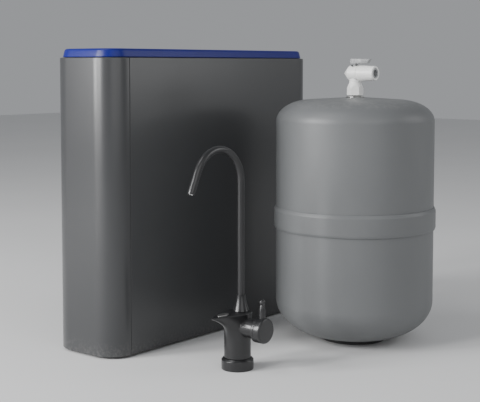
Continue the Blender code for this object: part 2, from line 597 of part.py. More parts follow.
def tank_valve(unit):
    """A white quarter-turn valve: hex nut, ball chamber with a cone behind, and a port that points to +X."""
    nut_low, nut_high = TANK_TOP + 3.4 * MM, TANK_TOP + 21.5 * MM
    z = VALVE_AXIS_Z
    shoulder = (11.8 * MM, nut_high - 8 * MM)
    nut = turned([(0, nut_low), (11.8 * MM, nut_low), shoulder, (8.9 * MM, nut_high), (0, nut_high)], 6)
    body = new_object("tank_valve_body", nut, "white_plastic", unit)
    waist = disc(8.6 * MM, nut_high - 2 * MM, z, 20)
    barrel = turned(
        mm((0, -17.4), (2.2, -17.2), (10.8, -8.2))
        + [(VALVE_RADIUS, -7 * MM), (VALVE_RADIUS, 7 * MM), (11.9 * MM, 9 * MM)]
        + [(PORT_RADIUS, VALVE_REACH - 1 * MM), (PORT_RADIUS - 0.6 * MM, VALVE_REACH), (0, VALVE_REACH)],
        24, "X",
    )
    turret = disc(6.4 * MM, z, LEVER_LOW - GAP, 20)
    boolean(body, "UNION", helper("valve_waist", waist, unit))
    boolean(body, "UNION", helper("valve_barrel", barrel, unit, (0, 0, z)))
    boolean(body, "UNION", helper("valve_turret", turret, unit))
    seat = VALVE_REACH - MOUTH_DEPTH
    chamber = turned(ellipse_arc((0, 0), (8.5 * MM, 8.5 * MM), -90, 90, 10), 20)
    inlet = turned([
        (0, nut_low - 5 * MM), (6.4 * MM, nut_low - 5 * MM), (6.4 * MM, TANK_TOP + 16 * MM),
        (3.4 * MM, TANK_TOP + 16 * MM), (3.4 * MM, z), (0, z),
    ], 20)
    outlet = turned([
        (0, 0), (3.4 * MM, 0), (3.4 * MM, 14 * MM), (TUBE_BORE, 14 * MM), (TUBE_BORE, 25 * MM),
        (6.6 * MM, 25 * MM), (6.6 * MM, seat), (7.4 * MM, seat), (7.4 * MM, VALVE_REACH + 5 * MM),
        (0, VALVE_REACH + 5 * MM),
    ], 20, "X")
    spindle = disc(3.4 * MM, z, z + 20 * MM, 16)
    boolean(body, "DIFFERENCE", helper("ball_chamber", chamber, unit, (0, 0, z)))
    boolean(body, "DIFFERENCE", helper("valve_inlet", inlet, unit))
    boolean(body, "DIFFERENCE", helper("valve_outlet", outlet, unit, (0, 0, z)))
    boolean(body, "DIFFERENCE", helper("spindle_hole", spindle, unit))
    ball = turned(ellipse_arc((0, 0), (8 * MM, 8 * MM), -90, 90, 8), 16)
    ball = new_object("tank_valve_ball", ball, "steel", unit, (0, 0, z))
    ball_inlet, ball_outlet = disc(3.2 * MM, -12 * MM, 0, 12), disc(3 * MM, -2 * MM, 12 * MM, 12, "X")
    boolean(ball, "DIFFERENCE", helper("ball_inlet", ball_inlet, unit, (0, 0, z)))
    boolean(ball, "DIFFERENCE", helper("ball_outlet", ball_outlet, unit, (0, 0, z)))
    collet = collet_mesh("X", 7 * MM)
    new_object("tank_valve_collet", collet, "grey_plastic", unit, (seat, 0, z))


def tank_valve_lever(unit):
    """The hub on the turret with its spindle down to the ball, and the paddle, which follows the port when
    the valve is open. The paddle's underside rises to its tip."""
    hub = disc(7.8 * MM, LEVER_LOW, LEVER_TOP, 24)
    side = [(LEVER_REACH, -2.2 * MM), (LEVER_REACH - 1 * MM, -3.2 * MM), (13 * MM, -7.2 * MM), (0, -7.2 * MM)]
    paddle = prism(side + [(x, -y) for x, y in reversed(side)], LEVER_LOW + 0.6 * MM, LEVER_TOP - 0.6 * MM)
    for vert in paddle.verts:
        if vert.co.z < LEVER_LOW + 1 * MM:
            vert.co.z += 3 * MM * vert.co.x / LEVER_REACH
    lever = new_object("tank_valve_lever", hub, "grey_plastic", unit)
    boolean(lever, "UNION", helper("lever_paddle", paddle, unit))
    spindle = disc(3.1 * MM, VALVE_AXIS_Z + 8.6 * MM, LEVER_LOW + 2 * MM, 16)
    boolean(lever, "UNION", helper("lever_spindle", spindle, unit))


# ---------------------------------------------------------------- faucet


def teardrop(back, front, half_width, tip_radius, steps=28):
    """A level outline: round behind, drawn out to a rounded tip in front, at -Y."""
    points = []
    for i in range(steps):
        angle = FULL_TURN * i / steps
        forward = max(0.0, -math.sin(angle))
        reach = back + (front - back) * forward ** 3.2
        narrow = 1 - (1 - tip_radius / half_width) * forward ** 2 * 0.55
        points.append((half_width * math.cos(angle) * narrow, reach * math.sin(angle)))
    return points


def faucet_body_mesh():
    """The column stands round and plain, then flares forwards into the lip under the level deck."""
    foot, plain_top = 16 * MM, 34 * MM
    flare = DECK_Z - 2 * MM - plain_top
    heights = [foot, 18 * MM, plain_top] + [plain_top + flare * i / 8 for i in range(1, 9)] + [DECK_Z]
    bm = bmesh.new()
    rings = []
    for z in heights:
        rise = min(1.0, max(0.0, (z - plain_top) / flare))
        front = COLUMN_RADIUS + (LIP_REACH - COLUMN_RADIUS) * rise ** 3.2
        back = COLUMN_RADIUS + 2.5 * MM * rise ** 2
        tip = 8 * MM + (COLUMN_RADIUS - 8 * MM) * (1 - rise)
        outline = teardrop(back, front, COLUMN_RADIUS + 1 * MM * rise, tip)
        shrink = 0.97 if z == DECK_Z else 1.0
        rings.append([bm.verts.new((x * shrink, y * shrink, z)) for x, y in outline])
    for low, high in zip(rings, rings[1:]):
        for i in range(len(low)):
            j = (i + 1) % len(low)
            bm.faces.new((low[i], low[j], high[j], high[i]))
    bm.faces.new(rings[0])
    bm.faces.new(rings[-1])
    return bm


def faucet_body(unit):
    """The casting: column and lip, a spigot in the base ring and a boss for the side valve.
    Water comes up the inlet, through the valve's bore and across the outlet to the spout's bore."""
    body = new_object("faucet_body", faucet_body_mesh(), "black_metal", unit)
    spigot = disc(14.6 * MM, GAP, 17 * MM, 24)
    face = HUB_START - 1 * MM
    boss = turned([(0, 0), (12.5 * MM, 0), (12.5 * MM, face - 1 * MM), (11.5 * MM, face), (0, face)], 24, "X")
    boolean(body, "UNION", helper("body_spigot", spigot, unit))
    boolean(body, "UNION", helper("side_boss", boss, unit, (0, 0, HANDLE_Z)))
    valve_bore = disc(9 * MM, 10 * MM, HUB_END, 20, "X")
    inlet = disc(3 * MM, -GAP, 50 * MM, 12)
    outlet = disc(2.2 * MM, 0, 12 * MM, 12, "X")
    spout_bore = disc(SPOUT_RADIUS + 0.3 * MM, 52 * MM, DECK_Z + 10 * MM, 16)
    boolean(body, "DIFFERENCE", helper("side_valve_bore", valve_bore, unit, (0, 0, HANDLE_Z)))
    boolean(body, "DIFFERENCE", helper("spout_bore", spout_bore, unit, (0, SPOUT_BACK, 0)))
    boolean(body, "DIFFERENCE", helper("inlet_bore", inlet, unit, (8 * MM, 0, 0)))
    boolean(body, "DIFFERENCE", helper("outlet_bore", outlet, unit, (0, 5 * MM, HANDLE_Z)))


def faucet_trim(unit):
    """The base ring, the cone round the spout's foot, and the oval inlay on the lip."""
    base = [(BASE_RADIUS, 0), (BASE_RADIUS, 12 * MM)] + mm((19.2, 15.5), (15, 15.5), (15, 0))
    new_object("faucet_base_ring", turned(base, 32), "black_metal", unit)
    bore = SPOUT_RADIUS + 0.3 * MM
    flanks = mm((bore / MM, 0.3), (10.8, 0.3), (10, 3), (8, 10), (6.5, 17), (5.9, 21), (bore / MM, 21.5))
    cone = [(radius, DECK_Z + height) for radius, height in flanks]
    new_object("spout_collar", turned(cone, 24), "black_metal", unit, (0, SPOUT_BACK, 0))
    oval = [(5.2 * MM * math.cos(a), 10 * MM * math.sin(a)) for a in [FULL_TURN * i / 24 for i in range(24)]]
    inlay = prism(oval, DECK_Z + GAP, DECK_Z + 1.4 * MM)
    new_object("lip_inlay", inlay, "steel", unit, (0, -29 * MM, 0))


def spout_path():
    """Up from the body, round the bend by a little less than half a turn, and down the tail."""
    bend_low = SPOUT_TOP - SPOUT_RADIUS - SPOUT_BEND
    points = [Vector((0, 0, 56 * MM)), Vector((0, 0, 150 * MM))]
    bend_steps = 14
    for step in range(bend_steps + 1):
        angle = SPOUT_TURN * step / bend_steps
        across, rise = SPOUT_BEND * (1 - math.cos(angle)), SPOUT_BEND * math.sin(angle)
        points.append(Vector((0, -across, bend_low + rise)))
    heading = Vector((0, -math.sin(SPOUT_TURN), math.cos(SPOUT_TURN)))
    points.append(points[-1] + SPOUT_TAIL * heading)
    return points, heading


def pipe(points, outer, inner, sides=12):
    """A tube along points that lie in the plane X = 0, hollow from end to end."""
    bm = bmesh.new()
    skins = {outer: [], inner: []}
    for number, point in enumerate(points):
        before, after = points[max(number - 1, 0)], points[min(number + 1, len(points) - 1)]
        along = (after - before).normalized()
        across = along.cross(Vector((1, 0, 0)))
        for radius, rings in skins.items():
            angles = [FULL_TURN * i / sides for i in range(sides)]
            spokes = [math.cos(a) * Vector((1, 0, 0)) + math.sin(a) * across for a in angles]
            rings.append([bm.verts.new(point + radius * spoke) for spoke in spokes])
    loops = skins[outer] + skins[inner][::-1]
    for low, high in zip(loops, loops[1:] + loops[:1]):
        for i in range(sides):
            j = (i + 1) % sides
            bm.faces.new((low[i], low[j], high[j], high[i]))
    return bm


def faucet_spout(unit):
    points, heading = spout_path()
    at = (0, SPOUT_BACK, 0)
    new_object("faucet_spout", pipe(points, SPOUT_RADIUS, 3.4 * MM), "black_metal", unit, at)
    insert = [points[-1] - 9 * MM * heading, points[-1] - 0.5 * MM * heading]
    new_object("flow_straightener", pipe(insert, 3.0 * MM, 1.6 * MM), "white_plastic", unit, at)


def faucet_handle(unit):
    """The quarter-turn cartridge in the side boss, its spindle, and the hub with its upright lever."""
    at = (0, 0, HANDLE_Z)
    bonnet_end = HUB_START - 1.6 * MM
    bonnet = mm((4, 14.3), (8.7, 14.3)) + [(8.7 * MM, bonnet_end), (4 * MM, bonnet_end)]
    new_object("valve_cartridge", turned(bonnet, 20, "X"), "steel", unit, at)
    new_object("valve_spindle", disc(3.6 * MM, 16 * MM, HUB_END - 5 * MM, 16, "X"), "steel", unit, at)
    edge = 1.2 * MM
    hub = turned([
        (3.9 * MM, HUB_START), (HUB_RADIUS - edge, HUB_START), (HUB_RADIUS, HUB_START + edge),
        (HUB_RADIUS, HUB_END - 2 * edge), (HUB_RADIUS - 2 * edge, HUB_END), (0, HUB_END),
        (0, HUB_END - 4.5 * MM), (3.9 * MM, HUB_END - 4.5 * MM),
    ], 28, "X")
    hub = new_object("faucet_handle", hub, "black_metal", unit, at)
    middle = (HUB_START + HUB_END) / 2
    rise = LEVER_TIP_Z - HANDLE_Z
    lever = turned([
        (0, 10 * MM), (4.6 * MM, 10 * MM), (4.4 * MM, rise - 14 * MM), (3.6 * MM, rise - 8 * MM),
        (4 * MM, rise - 5 * MM), (3.6 * MM, rise - 2 * MM), (2 * MM, rise - 0.4 * MM), (0, rise),
    ], 16)
    boolean(hub, "UNION", helper("handle_lever", lever, unit, (middle, 0, HANDLE_Z)))


def clear_scene():
    for obj in list(bpy.data.objects):
        bpy.data.objects.remove(obj)


def unit_at(name, place):
    empty = bpy.data.objects.new(name, None)
    bpy.context.scene.collection.objects.link(empty)
    empty.location = place
    return empty


def build():
    clear_scene()
    cabinet = unit_at("cabinet", CABINET_AT)
    tank = unit_at("tank", TANK_AT)
    faucet = unit_at("faucet", FAUCET_AT)
    for make in (front_cover, rear_housing, lid, chassis_tray, foot_pads, cartridge_rack):
        make(cabinet)
    for make in (manifold, manifold_screws, cartridges, shutoff_valve, flow_restrictor, ports):
        make(cabinet)
    for make in (tank_shells, tank_belt, tank_insides, tank_fittings, tank_valve, tank_valve_lever):
        make(tank)
    for make in (faucet_body, faucet_trim, faucet_spout, faucet_handle):
        make(faucet)


build()
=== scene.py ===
"""Under-sink reverse osmosis unit: the finished look of its cabinet, pressure tank and faucet.

Shapes are numpy surfaces in metres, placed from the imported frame. Profiles are (radius, height) or
(inset, height) in millimetres until they are carried round an axis or an outline.
"""

import json
import math

import bmesh
import bpy
import numpy as np
from mathutils import Matrix, Vector


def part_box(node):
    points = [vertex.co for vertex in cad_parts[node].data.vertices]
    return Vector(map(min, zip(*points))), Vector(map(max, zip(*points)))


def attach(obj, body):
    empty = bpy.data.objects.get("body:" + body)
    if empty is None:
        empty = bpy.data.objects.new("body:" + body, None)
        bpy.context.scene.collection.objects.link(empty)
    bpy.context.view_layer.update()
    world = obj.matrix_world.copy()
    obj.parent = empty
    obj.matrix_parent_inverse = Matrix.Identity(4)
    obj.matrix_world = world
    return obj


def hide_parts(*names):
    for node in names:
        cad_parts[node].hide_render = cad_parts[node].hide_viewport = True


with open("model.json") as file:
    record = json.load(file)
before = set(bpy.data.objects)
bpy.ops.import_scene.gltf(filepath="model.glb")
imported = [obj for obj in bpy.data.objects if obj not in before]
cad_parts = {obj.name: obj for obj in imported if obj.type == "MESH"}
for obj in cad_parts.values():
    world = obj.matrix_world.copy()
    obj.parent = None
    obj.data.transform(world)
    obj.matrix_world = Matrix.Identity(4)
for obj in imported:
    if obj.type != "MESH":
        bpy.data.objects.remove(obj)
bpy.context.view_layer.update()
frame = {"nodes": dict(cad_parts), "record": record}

MM = 0.001
FULL_TURN = 2 * math.pi


# ------------------------------------------------------------------ places, from the frame


def middle(node):
    """The middle of a node's box, in metres."""
    low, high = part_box(node)
    return (np.array(low) + np.array(high)) / 2


def on_floor(node):
    """The middle of a node's footprint, at floor level."""
    place = middle(node)
    return np.array([place[0], place[1], 0.0])


FRONT_LOW, FRONT_HIGH = (np.array(corner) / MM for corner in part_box("front_cover"))
REAR_LOW, REAR_HIGH = (np.array(corner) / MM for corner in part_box("rear_housing"))
LID_LOW, LID_HIGH = (np.array(corner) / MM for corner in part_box("lid"))
BELT_LOW, BELT_HIGH = (np.array(corner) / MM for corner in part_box("tank_belt"))
HALF_WIDTH = (REAR_HIGH[0] - REAR_LOW[0]) / 2
HALF_LENGTH = (REAR_HIGH[1] - FRONT_LOW[1]) / 2
CABINET = np.array([(REAR_LOW[0] + REAR_HIGH[0]) / 2, (FRONT_LOW[1] + REAR_HIGH[1]) / 2, 0]) * MM
TANK = on_floor("tank_belt")
FAUCET = on_floor("faucet_base_ring")
SPOUT = on_floor("spout_collar")

# Sizes are in millimetres. CORNER_TO_FLAT is a hexagon's ratio of its two radii.
CORNER = 35
WALL = 3
SEAM_Y = -HALF_LENGTH + CORNER
SEAM_GAP = 0.6
COVER_BOTTOM = REAR_LOW[2]
COVER_TOP = REAR_HIGH[2] - 0.3
EASE = 0.5
TONGUE_REACH = 12
LEDGE_START = SEAM_Y + 16
SHEET = 1.6
SHOULDER_WIDE, SHOULDER_HIGH = 50, 31
FOOT_RADIUS = 40
CORNER_TO_FLAT = 1.155
VALVE_RADIUS = 11.4
TURRET_RADIUS = 6.4
MOUTH_DEPTH = 2.4
CARTRIDGE_RADIUS = 45
COLUMN_RADIUS = 17.8
COLUMN_TOP = 34
SPOUT_RADIUS = 4.75
SPOUT_BORE = 3.4
SPOUT_BEND = 45
SPOUT_TURN = math.radians(155)
SPOUT_TAIL = 30

# Each light has its place and size in metres, and its power in watts.
LIGHTS = {
    "key": ((-1.3, -2.26, 1.1), (0.6, 1.2), 64),
    "front": ((-0.5, -2.45, 1.1), (0.5, 1.2), 38),
    "high": ((-0.6, -1.2, 2.6), (1.2, 1.2), 14),
    "right": ((2.4, -1.2, 1.4), (2.4, 2.0), 22),
    "back": ((1.9, 1.6, 1.2), (1.2, 1.4), 12),
}
LIGHTS_AIM = (0, 0, 0.2)
WORLD_COLOUR = (0.8, 0.82, 0.85, 1)
WORLD_STRENGTH = 0.42
FLOOR_REACH = 6.0

# The camera's lens and sensor are in millimetres, its place in metres and its angles in degrees.
CAMERA_LENS = 81.5
CAMERA_SENSOR = 36
CAMERA_SHIFT = -0.12
CAMERA_PLACE = (0.959, -1.235, 0.400)
CAMERA_AZIMUTH = 39.31
CAMERA_DIP = 4.13


# ------------------------------------------------------------------ shapes


def piece_from(name, mesh, sharp=35):
    mesh.shade_smooth()
    mesh.set_sharp_from_angle(angle=math.radians(sharp))
    piece = bpy.data.objects.new(name, mesh)
    bpy.context.scene.collection.objects.link(piece)
    return piece


def skin(name, grid, wrap_rows=False, caps=False, sharp=35):
    """A closed mesh over a grid of points in metres. Each row is a loop, and quads join every row to the
    next one. The last row also joins the first when rows wrap, or both are filled in when there are caps.
    Points that coincide, as at a pole, become one."""
    rows, columns = grid.shape[:2]
    index = np.arange(rows * columns).reshape(rows, columns)
    here = index if wrap_rows else index[:-1]
    ahead = np.roll(index, -1, axis=0) if wrap_rows else index[1:]
    quads = np.stack([here, np.roll(here, -1, axis=1), np.roll(ahead, -1, axis=1), ahead], axis=-1)
    faces = quads.reshape(-1, 4).tolist()
    if caps:
        faces += [index[0].tolist(), index[-1].tolist()]
    mesh = bpy.data.meshes.new(name)
    mesh.from_pydata(grid.reshape(-1, 3), [], faces)
    shape = bmesh.new()
    shape.from_mesh(mesh)
    bmesh.ops.remove_doubles(shape, verts=shape.verts, dist=0.002 * MM)
    bmesh.ops.recalc_face_normals(shape, faces=shape.faces)
    shape.to_mesh(mesh)
    shape.free()
    return piece_from(name, mesh, sharp)


def rounded(points, radii, steps=6):
    """A polygon whose corners are arcs. At each corner the arc's centre lies on the bisector, at the
    radius over the sine of the half angle, and the arc runs between its two tangent points."""
    points = np.array(points, float)
    radii = np.broadcast_to(np.array(radii, float), len(points))
    before, after = np.roll(points, 1, axis=0) - points, np.roll(points, -1, axis=0) - points
    before /= np.linalg.norm(before, axis=1)[:, None]
    after /= np.linalg.norm(after, axis=1)[:, None]
    half = np.arccos(np.clip((before * after).sum(axis=1), -0.9999, 0.9999)) / 2
    bisector = before + after
    bisector /= np.maximum(np.linalg.norm(bisector, axis=1), 1e-9)[:, None]
    centres = points + bisector * (radii / np.sin(half))[:, None]
    starts = points + before * (radii / np.tan(half))[:, None] - centres
    ends = points + after * (radii / np.tan(half))[:, None] - centres
    first = np.arctan2(starts[:, 1], starts[:, 0])
    sweep = np.arctan2(ends[:, 1], ends[:, 0]) - first
    sweep = (sweep + math.pi) % FULL_TURN - math.pi
    angles = first[:, None] + sweep[:, None] * np.linspace(0, 1, steps)[None, :]
    arcs = centres[:, None] + radii[:, None, None] * np.stack([np.cos(angles), np.sin(angles)], axis=-1)
    arcs = arcs.reshape(-1, 2)
    kept = np.linalg.norm(arcs - np.roll(arcs, 1, axis=0), axis=1) > 1e-6
    return arcs[kept]


def ellipse(centre, radii, start, end, steps):
    """An arc of an ellipse, between two angles in degrees above the horizontal."""
    angles = np.radians(np.linspace(start, end, steps))
    return np.stack([centre[0] + radii[0] * np.cos(angles), centre[1] + radii[1] * np.sin(angles)], axis=-1)


TO_AXIS = {
    "Z": Matrix.Identity(3),
    "Y": Matrix.Rotation(-math.pi / 2, 3, "X"),
    "X": Matrix.Rotation(math.pi / 2, 3, "Y"),
}


def lathe(name, profile, place, axis="Z", sides=96, radius_at=None, sharp=35):
    """A profile of (radius, height) turned about an axis: x = r cos a, y = r sin a, z = height.
    It is closed either by its ends on the axis or by joining its last point to its first. radius_at
    may change the radius with the angle and the height, as on a hexagon or a thread."""
    profile = np.array(profile, float)
    angles = np.linspace(0, FULL_TURN, sides, endpoint=False)
    radius = np.repeat(profile[:, :1], sides, axis=1)
    height = np.repeat(profile[:, 1:], sides, axis=1)
    if radius_at:
        radius = radius_at(radius, height, angles[None, :])
    grid = np.stack([radius * np.cos(angles), radius * np.sin(angles), height], axis=-1) * MM
    grid = grid @ np.array(TO_AXIS[axis]).T + np.array(place)
    on_axis = profile[0, 0] < 1e-6 and profile[-1, 0] < 1e-6
    return skin(name, grid, wrap_rows=not on_axis, sharp=sharp)


def merged(name, first, *others, operation="UNION", sharp=35):
    """Several closed shapes made into one, or the others cut out of the first."""
    for other in others:
        step = first.modifiers.new(other.name, "BOOLEAN")
        step.operation, step.solver, step.object = operation, "EXACT", other
    depsgraph = bpy.context.evaluated_depsgraph_get()
    mesh = bpy.data.meshes.new_from_object(first.evaluated_get(depsgraph))
    for used in (first, *others):
        bpy.data.objects.remove(used)
    mesh.name = name
    return piece_from(name, mesh, sharp)


def lofted(name, outlines, heights, place, sharp=35):
    """Level outlines, one for each height, joined up and closed at both ends."""
    heights = np.repeat(np.array(heights, float)[:, None, None], outlines.shape[1], axis=1)
    grid = np.concatenate([outlines, heights], axis=-1) * MM + np.array(place)
    return skin(name, grid, caps=True, sharp=sharp)


def cabinet_outline(corners, steps=18, lead=None):
    """The cabinet's outer wall, as points and outward normals, through the corners named in order. Each
    corner is a quarter circle: centre plus radius times the normal. A lead adds points before and after."""
    inner_x, inner_y = HALF_WIDTH - CORNER, HALF_LENGTH - CORNER
    starts = {"front_right": (inner_x, -inner_y, -90), "back_right": (inner_x, inner_y, 0),
              "back_left": (-inner_x, inner_y, 90), "front_left": (-inner_x, -inner_y, 180)}
    places, normals = [], []
    for corner in corners:
        x, y, start = starts[corner]
        angles = np.radians(np.linspace(start, start + 90, steps))
        normal = np.stack([np.cos(angles), np.sin(angles)], axis=-1)
        normals.append(normal)
        places.append(np.array([x, y]) + CORNER * normal)
    if lead is not None:
        first, last = lead
        places = [np.array(first), *places, np.array(last)]
        before = np.repeat(normals[0][:1], len(first), axis=0)
        after = np.repeat(normals[-1][-1:], len(last), axis=0)
        normals = [before, *normals, after]
    return np.concatenate(places), np.concatenate(normals)


def carried(name, profile, path, normals, closed=False, ease=0.0, sharp=35):
    """A profile of (inset, height) carried along the cabinet's wall: point = wall - inset * normal. Where
    the path has ends, the profile is squeezed there, so that the edge is rounded over."""
    profile = np.array(profile, float)
    inset = np.repeat(profile[None, :, 0], len(path), axis=0)
    if ease:
        low, high = profile[:, 0].min(), profile[:, 0].max()
        inset[[0, -1]] = np.clip(inset[[0, -1]], low + ease, high - ease)
    level = path[:, None, :] - inset[:, :, None] * normals[:, None, :]
    height = np.repeat(profile[None, :, 1:], len(path), axis=0)
    grid = np.concatenate([level, height], axis=-1) * MM + CABINET
    if closed:
        return skin(name, grid.transpose(1, 0, 2), caps=True, sharp=sharp)
    return skin(name, grid, caps=True, sharp=sharp)


def tube(name, path, across, outer, inner, place, sides=32):
    """A pipe in an upright plane: point = path + r cos a * sideways + r sin a * across. It goes out along
    the outer radii and comes back along the inner ones, so that its mouths are open."""
    angles = np.linspace(0, FULL_TURN, sides, endpoint=False)
    sideways = np.array([1.0, 0, 0])
    skins = []
    for radius in (outer, inner):
        radius = np.broadcast_to(radius, len(path))[:, None, None]
        ring = np.cos(angles)[None, :, None] * sideways + np.sin(angles)[None, :, None] * across[:, None, :]
        skins.append(path[:, None, :] + radius * ring)
    grid = np.concatenate([skins[0], skins[1][::-1]]) * MM + np.array(place)
    return skin(name, grid, wrap_rows=True)


# ------------------------------------------------------------------ finishes


class Value:
    """A shader socket that can be used in sums. Each operator adds the Math node that works it out."""

    def __init__(self, finish, socket):
        self.finish, self.socket = finish, socket

    def math(self, operation, *terms):
        return self.finish.node("Math", {"operation": operation}, dict(enumerate(terms)))

    def __add__(self, other):
        return self.math("ADD", self, other)

    def __mul__(self, other):
        return self.math("MULTIPLY", self, other)

    def __sub__(self, other):
        return self.math("SUBTRACT", self, other)

    def __rsub__(self, other):
        return self.math("SUBTRACT", other, self)

    __radd__, __rmul__ = __add__, __mul__

    def between(self, low, high):
        """0 below the low value, 1 above the high one, and smooth from one to the other."""
        settings = {"interpolation_type": "SMOOTHSTEP"}
        return self.finish.node("MapRange", settings, {"Value": self, "From Min": low, "From Max": high})


class Finish:
    """A material with one Principled shader, and short ways to add what varies over its surface."""

    def __init__(self, name, **uniform):
        self.material = bpy.data.materials.new(name)
        self.material.use_nodes = True
        self.tree = self.material.node_tree
        self.shader = self.tree.nodes["Principled BSDF"]
        for socket, value in uniform.items():
            self.shader.inputs[socket.replace("_", " ")].default_value = value

    def node(self, kind, settings=None, inputs=None, output=0):
        made = self.tree.nodes.new("ShaderNode" + kind)
        for key, value in (settings or {}).items():
            setattr(made, key, value)
        for key, value in (inputs or {}).items():
            self.feed(made.inputs[key], value)
        return Value(self, made.outputs[output])

    def feed(self, socket, value):
        if isinstance(value, Value):
            self.tree.links.new(value.socket, socket)
        else:
            socket.default_value = value

    def set(self, **inputs):
        for key, value in inputs.items():
            self.feed(self.shader.inputs[key.replace("_", " ")], value)
        return self

    def coordinates(self, stretch=(1, 1, 1)):
        place = self.node("TexCoord", output="Object")
        return self.node("Mapping", {}, {"Vector": place, "Scale": stretch})

    def noise(self, size, detail=3.0, stretch=(1, 1, 1)):
        """Cloudy noise whose lumps are about the given size in metres."""
        inputs = {"Vector": self.coordinates(stretch), "Scale": 1 / size}
        return self.node("TexNoise", {}, {**inputs, "Detail": detail, "Roughness": 0.55})

    def cells(self, size):
        """The distance to the nearest of scattered points, with cells of about the given size."""
        return self.node("TexVoronoi", {}, {"Vector": self.coordinates(), "Scale": 1 / size})

    def axis(self, letter):
        place = self.node("TexCoord", output="Object")
        return self.node("SeparateXYZ", {}, {0: place}, output=letter)

    def facing_up(self):
        normal = self.node("NewGeometry", output="Normal")
        return self.node("SeparateXYZ", {}, {0: normal}, output="Z")

    def mixed(self, dark, light, mask):
        """From the first colour to the second as the mask goes from 0 to 1."""
        colours = [value if isinstance(value, Value) else (*value, 1) for value in (dark, light)]
        inputs = {0: mask, 6: colours[0], 7: colours[1]}
        return self.node("Mix", {"data_type": "RGBA"}, inputs, output=2)

    def bump(self, height, distance):
        return self.node("Bump", {}, {"Height": height, "Distance": distance, "Strength": 1.0})


def scuffed(finish):
    """Fine, sparse scratches: the thin ridges where stretched noise passes its middle value."""
    lines = finish.noise(0.0015, 2.0, (1, 1, 0.06))
    return 1 - lines.math("ABSOLUTE", lines - 0.5).between(0.0, 0.012)


def charcoal_cover():
    """Dark grey satin plastic: a fine grain, faint wipe marks and a little dust at the foot."""
    finish = Finish("charcoal_cover", Coat_Weight=0.35, Coat_Roughness=0.24)
    cloud, grain = finish.noise(0.09), finish.noise(0.0008, 2.0)
    wipe = finish.noise(0.03, 3.0, (1, 1, 0.12))
    dust = (1 - finish.axis("Z").between(0.0, 0.03)) * finish.noise(0.004, 4.0).between(0.4, 0.7)
    colour = finish.mixed((0.032, 0.033, 0.035), (0.044, 0.045, 0.047), cloud * 0.6 + grain * 0.4)
    colour = finish.mixed(colour, (0.2, 0.195, 0.185), dust * 0.25)
    roughness = 0.27 + 0.08 * wipe + 0.07 * grain + 0.1 * dust + 0.04 * scuffed(finish)
    peel = finish.noise(0.0022, 2.0) * 0.7 + grain * 0.3
    return finish.set(Base_Color=colour, Roughness=roughness, Normal=finish.bump(peel, 0.00006))


def blue_lid():
    """Blue moulded plastic with a light spark grain, and dust that has settled on its top."""
    finish = Finish("blue_lid", Specular_IOR_Level=0.3)
    cloud, grain = finish.noise(0.05), finish.noise(0.0006, 2.0)
    colour = finish.mixed((0.003, 0.006, 0.13), (0.007, 0.012, 0.20), cloud * 0.7 + grain * 0.3)
    dust = finish.facing_up().between(0.7, 1.0) * finish.noise(0.006, 5.0).between(0.45, 0.8)
    colour = finish.mixed(colour, (0.2, 0.21, 0.30), dust * 0.08)
    roughness = 0.3 + 0.1 * grain + 0.15 * dust + 0.05 * scuffed(finish)
    return finish.set(Base_Color=colour, Roughness=roughness, Normal=finish.bump(grain, 0.00004))


def grey_enamel():
    """Grey satin enamel over pressed steel: orange peel, faint runs round the wall and a few specks."""
    finish = Finish("grey_enamel", Coat_Weight=0.06, Coat_Roughness=0.3)
    cloud, peel = finish.noise(0.07), finish.noise(0.003, 2.5)
    specks = 1 - finish.cells(0.009).between(0.04, 0.07)
    colour = finish.mixed((0.122, 0.127, 0.130), (0.140, 0.145, 0.148), cloud)
    colour = finish.mixed(colour, (0.13, 0.13, 0.13), specks * finish.noise(0.03).between(0.5, 0.6) * 0.5)
    dust = finish.facing_up().between(0.75, 1.0) * finish.noise(0.005, 5.0).between(0.4, 0.75)
    colour = finish.mixed(colour, (0.36, 0.36, 0.35), dust * 0.3)
    roughness = 0.42 + 0.08 * finish.noise(0.02, 3.0, (1, 1, 0.3)) + 0.12 * dust + 0.05 * scuffed(finish)
    return finish.set(Base_Color=colour, Roughness=roughness, Normal=finish.bump(peel, 0.00009))


def moulding(name, dark, light, roughness, grain_size=0.0009, grain_depth=0.00003, coat=0.0):
    """Moulded plastic: cloudy colour, faint flow lines along the part, and a fine spark grain."""
    finish = Finish(name, Coat_Weight=coat, Coat_Roughness=0.25)
    cloud, grain = finish.noise(0.02), finish.noise(grain_size, 2.0)
    flow = finish.noise(0.01, 3.0, (1, 0.2, 0.2))
    colour = finish.mixed(dark, light, cloud * 0.5 + flow * 0.5)
    worn = roughness + 0.08 * grain + 0.05 * flow + 0.05 * scuffed(finish)
    return finish.set(Base_Color=colour, Roughness=worn, Normal=finish.bump(grain, grain_depth))


def steel():
    """Turned steel: fine tool marks, slight tarnish and bright worn spots."""
    finish = Finish("steel", Metallic=1.0)
    marks, tarnish = finish.noise(0.0006, 2.0, (0.15, 0.15, 1)), finish.noise(0.006, 4.0)
    colour = finish.mixed((0.42, 0.42, 0.41), (0.62, 0.62, 0.61), tarnish)
    roughness = 0.22 + 0.16 * tarnish + 0.1 * marks
    return finish.set(Base_Color=colour, Roughness=roughness, Normal=finish.bump(marks, 0.00002))


def black_finish():
    """Satin black over brass: nearly smooth, with faint mottling and finger marks in the gloss."""
    finish = Finish("black_finish", Coat_Weight=0.2, Coat_Roughness=0.2)
    cloud, peel = finish.noise(0.02), finish.noise(0.0012, 2.0)
    marks = finish.noise(0.008, 4.0).between(0.5, 0.75)
    colour = finish.mixed((0.010, 0.010, 0.011), (0.016, 0.016, 0.017), cloud)
    rough = 0.26 + 0.1 * marks + 0.05 * cloud + 0.04 * scuffed(finish)
    return finish.set(Base_Color=colour, Roughness=rough, Normal=finish.bump(peel, 0.00001))


